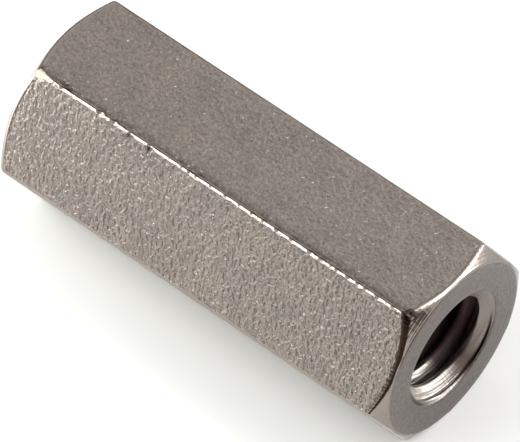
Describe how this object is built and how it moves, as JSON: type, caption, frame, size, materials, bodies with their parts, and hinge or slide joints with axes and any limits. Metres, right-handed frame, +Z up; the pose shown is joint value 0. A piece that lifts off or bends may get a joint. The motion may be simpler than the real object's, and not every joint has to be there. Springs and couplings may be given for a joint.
{
  "type": "coupling nut",
  "caption": "Long hexagonal coupling nut, tapped right through, with chamfered ends and shallow countersinks, for joining threaded rods end to end.",
  "frame": {"origin": "middle of the bore's axis, halfway between the end faces", "axes": "+X along the bore, +Z up and normal to the upper flat, +Y across the corners; the nut lies on its lower flat"},
  "size_m": [0.019, 0.009, 0.0078],
  "materials": {
    "tumbled_steel": "drawn stainless steel bar, turned at the ends and tumbled: warm grey satin with bright broken edges"
  },
  "bodies": {
    "root": {"coupling_nut": "tumbled_steel"}
  },
  "joints": []
}
